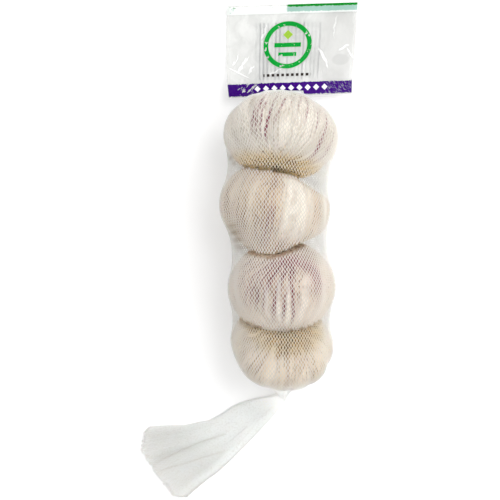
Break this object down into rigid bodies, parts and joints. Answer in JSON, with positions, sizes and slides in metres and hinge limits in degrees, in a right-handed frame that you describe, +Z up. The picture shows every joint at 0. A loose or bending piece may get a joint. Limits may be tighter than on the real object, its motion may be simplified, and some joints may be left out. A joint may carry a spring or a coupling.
{
  "type": "net pack of garlic bulbs",
  "caption": "Fine white net sleeve holding a row of garlic bulbs, with a printed clear film header at one end and the net's free end fanned out at the other.",
  "frame": {"origin": "centre of the bounding box in plan, at the level of the surface that the pack lies on", "axes": "+X across the pack to the right as it is shown, +Y along the pack towards the header film, +Z up, away from the surface that it lies on"},
  "size_m": [0.1046, 0.2388, 0.0527],
  "materials": {
    "net": "fine knitted white plastic net",
    "garlic_skin": "dry papery cream garlic skin with mauve streaks and a brown root end",
    "film": "thin clear film, creased, printed in green and violet"
  },
  "bodies": {
    "root": {"net_sleeve": "net", "header_film": "film"}
  },
  "joints": []
}
